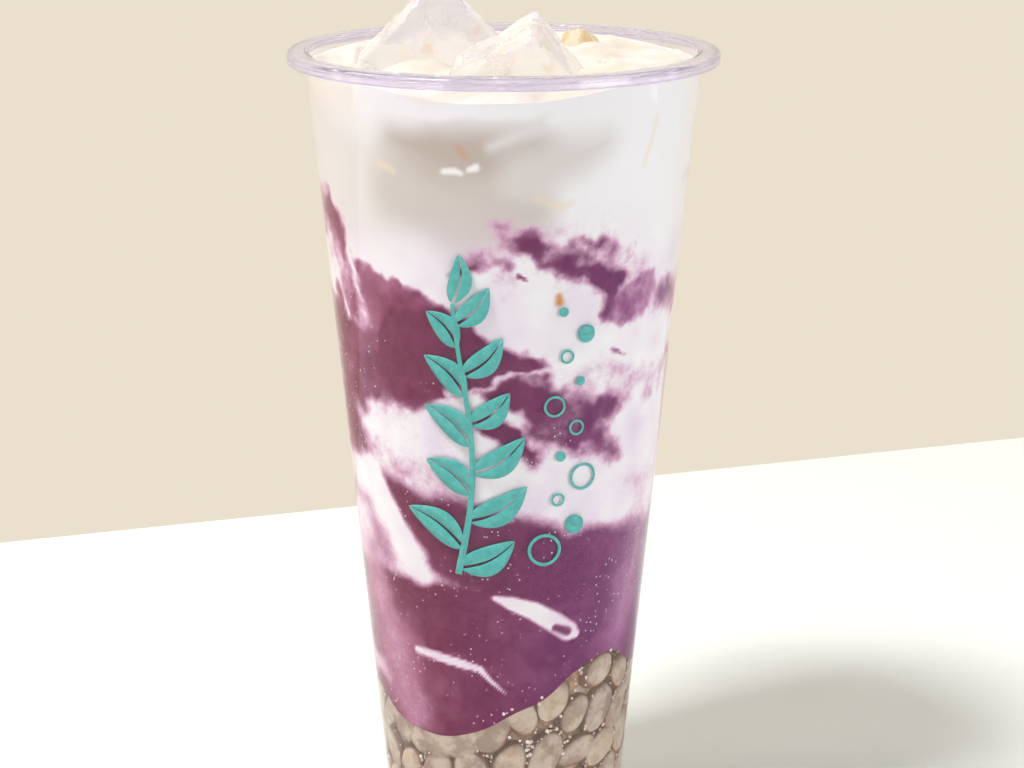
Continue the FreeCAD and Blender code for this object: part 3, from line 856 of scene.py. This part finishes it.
def make_print(material):
    """A leafy sprig with rising bubbles beside it, as a thin film of ink on the outside of the wall."""
    points, faces = [], []
    steps = 40
    heights = np.linspace(*SPRIG_HEIGHTS, steps)
    share = (heights - heights[0]) / (heights[-1] - heights[0])
    stem = np.stack([SPRIG_FOOT + 2.6 * np.sin(share * 4.2) + 1.5 * share, heights], axis=-1)
    stroke(points, faces, stem, 1.5 - 0.7 * share)
    for n in range(SPRIG_LEAVES):
        t = (n + 0.4) / SPRIG_LEAVES
        spot = stem[int(t * (steps - 1))]
        side = -1 if n % 2 else 1
        reach = (15.5 - 5.0 * t) * (1.0 if n % 3 else 0.86)
        leaf(points, faces, spot, side * (62 - 22 * t), reach, 6.6 - 1.6 * t)
    leaf(points, faces, stem[-1], 8, 10.5, 4.8)
    for angle_mm, z, outer, inner in PRINTED_BUBBLES:
        ring(points, faces, (angle_mm, z), outer, inner)
    obj = new_piece("printed_sprig", on_the_wall(points, INK * 0.5), faces, material)
    film = obj.modifiers.new("ink", "SOLIDIFY")
    film.thickness = INK * MM
    film.offset = 1.0
    made_plain(obj)
    return obj


# ---------------------------------------------------------------- materials

class Board:
    """The nodes of one material, group or geometry tree."""

    def __init__(self, tree):
        self.tree = tree

    def add(self, kind, inputs=None, **settings):
        node = self.tree.nodes.new(kind)
        for name, value in settings.items():
            setattr(node, name, value)
        for name, value in (inputs or {}).items():
            self.feed(node.inputs[name], value)
        return node

    def feed(self, socket, value):
        if isinstance(value, bpy.types.NodeSocket):
            self.tree.links.new(value, socket)
        elif isinstance(value, tuple) and socket.type == "RGBA":
            socket.default_value = (*value[:3], 1.0)
        else:
            socket.default_value = value

    def attribute(self, name):
        return self.add("ShaderNodeAttribute", attribute_name=name).outputs["Fac"]

    def noise(self, scale, detail=3.0, rough=0.5, stretch=(1.0, 1.0, 1.0), bend=0.0):
        """Noise on object coordinates, with so many lumps to a millimetre."""
        spot = self.add("ShaderNodeTexCoord").outputs["Object"]
        mapping = self.add("ShaderNodeMapping", {"Vector": spot, "Scale": tuple(s * 1000.0 for s in stretch)})
        return self.add("ShaderNodeTexNoise", {
            "Vector": mapping.outputs[0], "Scale": scale, "Detail": detail, "Roughness": rough,
            "Distortion": bend,
        }).outputs["Fac"]

    def specks(self, scale, radius):
        """1 in small round spots, so many to a millimetre, and 0 elsewhere."""
        spot = self.add("ShaderNodeTexCoord").outputs["Object"]
        mapping = self.add("ShaderNodeMapping", {"Vector": spot, "Scale": (1000.0, 1000.0, 1000.0)})
        cells = self.add("ShaderNodeTexVoronoi", {"Vector": mapping.outputs[0], "Scale": scale})
        return self.ramp(cells.outputs["Distance"], radius, radius * 0.5)

    def math(self, operation, a, b=0.0, clamp=False):
        return self.add("ShaderNodeMath", {0: a, 1: b}, operation=operation, use_clamp=clamp).outputs[0]

    def ramp(self, value, low, high, out_low=0.0, out_high=1.0):
        """A soft step between two levels of a value."""
        return self.add("ShaderNodeMapRange", {
            "Value": value, "From Min": low, "From Max": high, "To Min": out_low, "To Max": out_high,
        }, interpolation_type="SMOOTHSTEP").outputs["Result"]

    def blend(self, share, a, b):
        """The second colour over the first, by that share."""
        node = self.add("ShaderNodeMix", {0: share, 6: a, 7: b}, data_type="RGBA")
        return node.outputs[2]

    def bump(self, height, distance, strength=1.0):
        return self.add("ShaderNodeBump", {
            "Height": height, "Distance": distance * MM, "Strength": strength,
        }).outputs["Normal"]

    def group(self, tree, inputs):
        node = self.add("ShaderNodeGroup", node_tree=tree)
        for name, value in inputs.items():
            self.feed(node.inputs[name], value)
        return node

    def surface(self, shader):
        self.add("ShaderNodeOutputMaterial", {"Surface": shader})


def colour(red, green, blue):
    """A colour as it shows, 0 to 255, in the shader's own linear values."""
    def line(c):
        c /= 255.0
        return c / 12.92 if c <= 0.04045 else ((c + 0.055) / 1.055) ** 2.4
    return (line(red), line(green), line(blue))


MILK_WHITE = colour(250, 246, 244)
# the colour of the painted shade in the milk
MILK_PAINTED_SHADE = colour(196, 180, 166)
MILK_LILAC = colour(234, 212, 232)
MILK_CREAM = colour(245, 226, 190)
MILK_BLUSH = colour(222, 172, 200)
TARO_PALE_LEFT = colour(178, 104, 134)
TARO_PALE_RIGHT = colour(164, 92, 146)
TARO_DEEP_LEFT = colour(112, 6, 62)
TARO_DEEP_RIGHT = colour(104, 18, 88)
TARO_LIGHT_MOTTLE = colour(176, 88, 136)
PASTE_SPARKLE = colour(244, 226, 236)
FLECK_AMBER = colour(212, 142, 62)
ICE_TAN = colour(236, 208, 172)
PEARL_GREY = colour(156, 132, 124)
PEARL_CREAM = colour(198, 176, 150)
PEARL_LIGHT = colour(218, 204, 190)
PEARL_EDGE = colour(140, 84, 36)
SYRUP_DARK = colour(150, 102, 58)
SYRUP_LIGHT = colour(206, 168, 122)


def new_material(name):
    """An empty material and the board of its nodes."""
    material = bpy.data.materials.new(name)
    material.use_nodes = True
    material.node_tree.nodes.clear()
    return material, Board(material.node_tree)


def let_lamps_through(board, glass, tint):
    """The glass, with a plain tinted pane in its place for the rays that carry lamp light inside."""
    rays = board.add("ShaderNodeLightPath")
    either = board.math("MAXIMUM", rays.outputs["Is Shadow Ray"], rays.outputs["Is Diffuse Ray"])
    pane = board.add("ShaderNodeBsdfTransparent", {"Color": tint})
    return board.add("ShaderNodeMixShader", {0: either, 1: glass, 2: pane.outputs[0]}).outputs[0]


def clear_plastic():
    """Thin clear plastic of a faint lavender, with the slight waviness of a formed cup."""
    material, board = new_material("clear_plastic")
    waves = board.noise(0.05, 2.0, stretch=(1.0, 1.0, 0.35))
    glass = board.add("ShaderNodeBsdfPrincipled", {
        "Base Color": colour(250, 249, 253), "Roughness": board.ramp(waves, 0.3, 0.7, 0.01, 0.05),
        "IOR": 1.46, "Transmission Weight": 1.0, "Normal": board.bump(waves, 0.5, 0.25),
    })
    board.surface(let_lamps_through(board, glass.outputs[0], (0.97, 0.965, 0.98)))
    return material


def lip_plastic():
    """The same plastic where it is thick, so that its lavender shows."""
    material, board = new_material("lip_plastic")
    waves = board.noise(0.08, 2.0)
    glass = board.add("ShaderNodeBsdfPrincipled", {
        "Base Color": colour(238, 232, 252), "Roughness": board.ramp(waves, 0.3, 0.7, 0.04, 0.10),
        "IOR": 1.46, "Transmission Weight": 0.9, "Normal": board.bump(waves, 0.2, 0.3),
    })
    board.surface(let_lamps_through(board, glass.outputs[0], (0.95, 0.94, 0.98)))
    return material


def marble_group():
    """Colour and mottling of milk, taro and all between, from the share of taro and its depth."""
    tree = bpy.data.node_groups.new("marbled_drink", "ShaderNodeTree")
    for name in ("Feather", "Bubbles"):
        tree.interface.new_socket(name, in_out="INPUT", socket_type="NodeSocketFloat")
    tree.interface.new_socket("Color", in_out="OUTPUT", socket_type="NodeSocketColor")
    board = Board(tree)
    given = board.add("NodeGroupInput")
    fine = board.noise(0.9, 4.0, 0.65, bend=0.4)
    broad = board.noise(0.16, 3.0, 0.55)
    ragged = board.math("MULTIPLY", board.math("SUBTRACT", fine, 0.5), given.outputs["Feather"])
    ragged = board.math("MULTIPLY", ragged, board.ramp(board.attribute("taro"), 0.70, 0.92, 1.0, 0.0))
    share = board.math("ADD", board.attribute("taro"), ragged, clamp=True)
    depth = board.math("ADD", board.attribute("depth"), board.ramp(broad, 0.3, 0.7, -0.13, 0.13), clamp=True)
    painted_shade = board.attribute("painted_shade")
    warm = board.attribute("warm")
    # the milk takes its painted shade here, and is left lighter at the painted glints
    milk = board.blend(painted_shade, MILK_WHITE, MILK_PAINTED_SHADE)
    milk = board.blend(warm, milk, MILK_CREAM)
    milk = board.blend(board.attribute("lilac"), milk, MILK_LILAC)
    side = board.ramp(board.attribute("to_right"), -0.70, 0.80)
    pale = board.blend(side, TARO_PALE_LEFT, TARO_PALE_RIGHT)
    deep = board.blend(side, TARO_DEEP_LEFT, TARO_DEEP_RIGHT)
    taro = board.blend(board.ramp(depth, 0.0, 0.80), pale, deep)
    mottled = board.ramp(board.noise(0.45, 5.0, 0.7, bend=0.6), 0.34, 0.70)
    taro = board.blend(board.math("MULTIPLY", mottled, 0.16), taro, TARO_LIGHT_MOTTLE)
    blush = board.blend(board.ramp(share, 0.02, 0.45), milk, MILK_BLUSH)
    body = board.blend(board.ramp(share, 0.22, 0.92), blush, taro)
    spots = board.math("MULTIPLY", board.specks(0.8, 0.18), board.ramp(board.noise(0.12), 0.46, 0.60))
    spots = board.math("MULTIPLY", spots, given.outputs["Bubbles"])
    body = board.blend(board.math("MULTIPLY", spots, board.ramp(share, 0.3, 0.6)), body, PASTE_SPARKLE)
    body = board.blend(board.attribute("amber"), body, FLECK_AMBER)
    board.add("NodeGroupOutput", {"Color": body})
    return tree


def drink_material(name, feather, bubbles, roughness):
    """Milk and paste: feather frays the edges between them, and bubbles is the share of tiny bubbles."""
    material, board = new_material(name)
    marble = board.group(MARBLE, {"Feather": feather, "Bubbles": bubbles})
    body = board.add("ShaderNodeBsdfPrincipled", {
        "Base Color": marble.outputs["Color"], "Roughness": roughness, "IOR": 1.35,
        "Specular IOR Level": 0.1,
    })
    board.surface(body.outputs[0])
    return material


def ice_material(name, tint, frost, pane, clear):
    """Wet ice: clear where it has melted smooth, frosted where milk clings to it, and tan in places."""
    material, board = new_material(name)
    patches = board.math("ADD", board.noise(0.12, 4.0, 0.6), board.attribute("milk_film"))
    film = board.ramp(patches, 0.44, 0.70)
    cracks = board.noise(0.35, 4.0, 0.6, bend=1.2)
    tan = board.math("MULTIPLY", film, board.ramp(board.noise(0.16, 3.0, 0.6), 0.56, 0.70, 0.0, 0.7))
    ice = board.add("ShaderNodeBsdfPrincipled", {
        "Base Color": board.blend(tan, board.blend(film, tint, frost), ICE_TAN),
        "Roughness": board.ramp(film, 0.0, 1.0, 0.05, 0.55),
        "IOR": 1.31, "Transmission Weight": clear, "Normal": board.bump(cracks, 0.8, 0.35),
    })
    board.surface(let_lamps_through(board, ice.outputs[0], pane))
    return material


def pearl_material():
    """Soft chewy pearls: pale and cloudy in the middle; at the sides the syrup's brown and painted shade."""
    material, board = new_material("soft_pearl")
    cloudy = board.noise(0.28, 4.0, 0.6)
    middle = board.blend(board.attribute("tone"), PEARL_GREY, PEARL_CREAM)
    middle = board.blend(board.ramp(cloudy, 0.38, 0.62, 0.0, 0.75), middle, PEARL_LIGHT)
    # browner and darker where the pearl turns from the wall: the syrup's brown, and painted shade
    side = board.ramp(board.attribute("facing_out"), 0.88, 0.55)
    shown = board.blend(side, middle, PEARL_EDGE)
    pearl = board.add("ShaderNodeBsdfPrincipled", {
        "Base Color": shown, "Roughness": board.ramp(cloudy, 0.3, 0.7, 0.28, 0.45), "IOR": 1.38,
        "Specular IOR Level": 0.35, "Normal": board.bump(cloudy, 0.25, 0.4),
    })
    board.surface(pearl.outputs[0])
    return material


def syrup_material():
    """Thin syrup between the pearls and the wall."""
    material, board = new_material("brown_syrup")
    streaks = board.noise(0.2, 3.0)
    glass = board.add("ShaderNodeBsdfPrincipled", {
        "Base Color": board.blend(streaks, colour(253, 248, 240), colour(251, 242, 228)),
        "Roughness": 0.02, "IOR": 1.36, "Transmission Weight": 1.0,
    })
    board.surface(let_lamps_through(board, glass.outputs[0], (0.97, 0.94, 0.89)))
    return material


def thick_syrup_material():
    """Syrup too deep to see through, with the shapes of pearls in it."""
    material, board = new_material("thick_syrup")
    lumps = board.noise(0.18, 3.0, 0.6)
    body = board.add("ShaderNodeBsdfPrincipled", {
        "Base Color": board.blend(board.ramp(lumps, 0.4, 0.62), SYRUP_DARK, SYRUP_LIGHT),
        "Roughness": 0.4, "Normal": board.bump(lumps, 1.0, 0.5),
    })
    board.surface(body.outputs[0])
    return material


def bubble_material():
    """Bubbles of air, from brown like the syrup to nearly white."""
    material, board = new_material("bubble")
    body = board.add("ShaderNodeBsdfPrincipled", {
        "Base Color": board.blend(board.attribute("tone"), colour(214, 170, 140), colour(255, 246, 236)),
        "Roughness": board.ramp(board.noise(0.5), 0.3, 0.7, 0.10, 0.2), "Specular IOR Level": 1.0,
    })
    board.surface(body.outputs[0])
    return material


def ink_material():
    """Teal ink, a little thin in places, as screen printing leaves it."""
    material, board = new_material("teal_ink")
    thin = board.noise(0.6, 4.0, 0.6)
    body = board.add("ShaderNodeBsdfPrincipled", {
        "Base Color": board.blend(board.ramp(thin, 0.35, 0.7), colour(74, 168, 164), colour(94, 184, 178)),
        "Roughness": board.ramp(thin, 0.3, 0.7, 0.32, 0.42),
    })
    board.surface(body.outputs[0])
    return material


# ---------------------------------------------------------------- stage, lamps and camera

def seen_directly(board):
    """1 for the rays of the eye, of mirrors and of glass, and 0 for the light that surfaces pass on."""
    rays = board.add("ShaderNodeLightPath")
    seen = board.math("MAXIMUM", rays.outputs["Is Camera Ray"], rays.outputs["Is Glossy Ray"])
    return board.math("MAXIMUM", seen, rays.outputs["Is Transmission Ray"])


def make_floor():
    """A pale floor, a hair under the cup's foot."""
    material, board = new_material("pale_floor")
    lit = board.add("ShaderNodeBsdfDiffuse", {"Color": colour(246, 250, 248)})
    glow = board.add("ShaderNodeEmission", {
        "Color": colour(255, 254, 249), "Strength": board.math("MULTIPLY", seen_directly(board), 0.05),
    })
    both = board.add("ShaderNodeAddShader", {0: lit.outputs[0], 1: glow.outputs[0]})
    board.surface(both.outputs[0])
    far = 3000.0
    points = [(-far, -far, -0.05), (far, -far, -0.05), (far, far, -0.05), (-far, far, -0.05)]
    floor = new_piece("pale_floor", points, [(0, 1, 2, 3)], material, smooth=False)


def make_wall():
    """A beige wall behind, seen from its front only."""
    material, board = new_material("beige_wall")
    lit = board.add("ShaderNodeBsdfDiffuse", {"Color": colour(235, 224, 206)})
    glow = board.add("ShaderNodeEmission", {"Color": colour(235, 224, 206)})
    shown = board.add("ShaderNodeMixShader", {0: seen_directly(board), 1: lit.outputs[0], 2: glow.outputs[0]})
    back = board.add("ShaderNodeNewGeometry").outputs["Backfacing"]
    clear = board.add("ShaderNodeBsdfTransparent")
    either = board.add("ShaderNodeMixShader", {0: back, 1: shown.outputs[0], 2: clear.outputs[0]})
    board.surface(either.outputs[0])
    left, right = WALL_FOOT
    ahead = np.array(right) - np.array(left)
    start = np.array(left) - 6 * ahead
    end = np.array(right) + 6 * ahead
    points = [(*start, 0), (*end, 0), (*end, 2500), (*start, 2500)]
    mesh = bpy.data.meshes.new("beige_wall")
    mesh.from_pydata((np.array(points) * MM).tolist(), [], [(0, 1, 2, 3)])
    mesh.materials.append(material)
    wall = bpy.data.objects.new("beige_wall", mesh)
    bpy.context.scene.collection.objects.link(wall)


def lamp(name, toward, distance, width, watts, tint=(1.0, 1.0, 1.0), tall=None):
    """A soft square or tall lamp in a direction from the cup's middle, aimed at it."""
    data = bpy.data.lights.new(name, "AREA")
    data.energy = watts
    data.color = tint
    data.size = width
    if tall:
        data.shape = "RECTANGLE"
        data.size_y = tall
    obj = bpy.data.objects.new(name, data)
    direction = Vector(toward).normalized()
    obj.location = Vector((0, 0, LAMPS_AIM * MM)) + direction * distance
    obj.rotation_euler = (-direction).to_track_quat("-Z", "Y").to_euler()
    bpy.context.scene.collection.objects.link(obj)


def light_the_scene():
    """A key lamp high on the left, a low fill on the right, and a faint even light all round."""
    world = bpy.data.worlds.new("studio")
    bpy.context.scene.world = world
    world.use_nodes = True
    world.node_tree.nodes.clear()
    board = Board(world.node_tree)
    around = board.add("ShaderNodeBackground", {"Color": (0.94, 0.97, 1.0), "Strength": AMBIENT})
    shown = board.add("ShaderNodeBackground", {"Color": colour(226, 222, 216), "Strength": 1.0})
    seen = seen_directly(board)
    mixed = board.add("ShaderNodeMixShader", {0: seen, 1: around.outputs[0], 2: shown.outputs[0]})
    board.add("ShaderNodeOutputWorld", {"Surface": mixed.outputs[0]})
    lamp("key_lamp", (-0.81, -0.50, 1.7), distance=1.35, width=0.28, watts=15.2)
    lamp("fill_lamp", (1.0, -0.75, 0.10), distance=1.2, width=0.6, watts=6.6, tint=(0.95, 0.97, 1.0))
    lamp("left_strip", (-0.98, 0.1, 0.35), distance=0.5, width=0.12, watts=0.22, tall=0.5)
    lamp("right_strip", (0.985, 0.1, 0.35), distance=0.5, width=0.06, watts=0.12, tall=0.5)


def place_camera():
    data = bpy.data.cameras.new("camera")
    data.lens = CAMERA_LENS
    data.sensor_width = 36.0
    camera = bpy.data.objects.new("camera", data)
    camera.location = Vector(CAMERA_PLACE) * MM
    camera.rotation_euler = (math.radians(90.0 - CAMERA_DOWN), 0, 0)
    bpy.context.scene.collection.objects.link(camera)
    bpy.context.scene.camera = camera
    bpy.context.scene.view_settings.view_transform = "Standard"


# ---------------------------------------------------------------- the drink, put together

def stand_for(obj, slot, *nodes):
    """Every piece rides on the one body, in the place of its nodes, which are hidden; the slot is not used.
    """
    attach(obj, "root")
    if nodes:
        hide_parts(*nodes)


BALL_TREE = ball_tree()
PEARLS_AT_WALL = pearl_layer(WALL_PEARLS, WALL_PEARL_INSET, FLOOR_TOP + 3.4, 11)
MARBLE = marble_group()
ICE_TREES = ice_trees()

place_camera()
light_the_scene()
make_floor()
make_wall()

cup = make_cup(clear_plastic())
cup.data.materials.append(lip_plastic())
for face in cup.data.polygons:
    face.material_index = 1 if face.center.z > (CUP_HEIGHT - LIP_BAND) * MM else 0
stand_for(cup, "clear_plastic", "cup")

stand_for(make_print(ink_material()), "print")

paste = drink_material("taro_paste", feather=0.4, bubbles=1.0, roughness=0.5)
taro = layer_of_drink("taro", taro_foot, taro_top, rows=136, top_rings=12, relief=no_relief, material=paste)
stand_for(taro, "taro", "taro_paste")

fresh_milk = drink_material("milk", feather=0.4, bubbles=0.0, roughness=0.42)
milk = layer_of_drink("milk", taro_top, milk_top, rows=132, top_rings=44, relief=milk_relief,
                      material=fresh_milk)
stand_for(milk, "milk", "milk")

wet_ice = ice_material("wet_ice", tint=colour(246, 244, 253), frost=colour(255, 254, 251),
                       pane=(0.95, 0.95, 0.97), clear=0.78)
amber = ice_material("amber_sugar", tint=colour(238, 212, 168), frost=colour(250, 240, 220),
                     pane=(0.92, 0.84, 0.72), clear=0.4)
for node, seed in (("ice_left", 81), ("ice_right", 82), ("ice_back", 83), ("ice_chip", 84)):
    block = melted_block(node, f"melted_{node}", wet_ice, voxel=0.6, wear=1.05, seed=seed)
    points, normals = points_of(block)
    low = smooth(8.0, 0.0, points[:, 2] - MILK_LEVEL)
    film = 0.42 * low + 0.30 * cloud(points, 7.0, seed + 20) - 0.16 * normals[:, 0]
    store(block, "milk_film", film)
    stand_for(block, "ice", node)
lump = melted_block("amber_lump", "amber_sugar_lump", amber, voxel=0.35, wear=0.5, seed=85)
store(lump, "milk_film", 0.15 * cloud(points_of(lump)[0], 2.5, 90))
stand_for(lump, "amber_sugar", "amber_lump")

pearls = make_pearls(pearl_material())
syrup = syrup_body("syrup", -0.12, 0.1, rows=40, columns=180, material=syrup_material())
thick_syrup = thick_syrup_material()
deep_syrup = syrup_body("deep_syrup", SYRUP_CORE_INSET, -0.6, rows=24, columns=120, material=thick_syrup)
bubbles = make_bubbles(bubble_material())
for piece in (pearls, syrup, deep_syrup, bubbles):
    stand_for(piece, "pearls_in_syrup", "pearl_heap")
